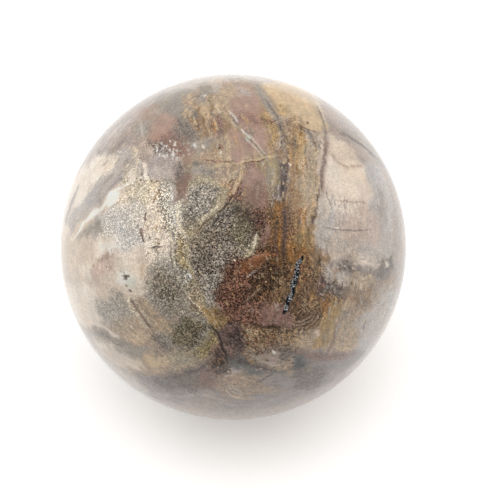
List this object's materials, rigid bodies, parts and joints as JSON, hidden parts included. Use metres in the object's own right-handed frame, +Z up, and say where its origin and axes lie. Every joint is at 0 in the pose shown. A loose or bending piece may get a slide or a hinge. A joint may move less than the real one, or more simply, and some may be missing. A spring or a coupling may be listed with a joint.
{
  "type": "petrified wood sphere",
  "caption": "Polished ball of petrified wood with an open crystal fissure and small natural pits, for display in a ring stand or as a desk weight.",
  "frame": {"origin": "centre of the ball", "axes": "+Z up as the ball lies in its stand; -Y is the front, the side of the open fissure and the vugs; +X is to the right of it"},
  "size_m": [0.07, 0.07, 0.07],
  "materials": {
    "petrified_wood": "ground and polished silicified wood, banded and mottled in grey, cream, tan, golden brown, mauve and rust red"
  },
  "bodies": {
    "root": {"stone_sphere": "petrified_wood"}
  },
  "joints": []
}
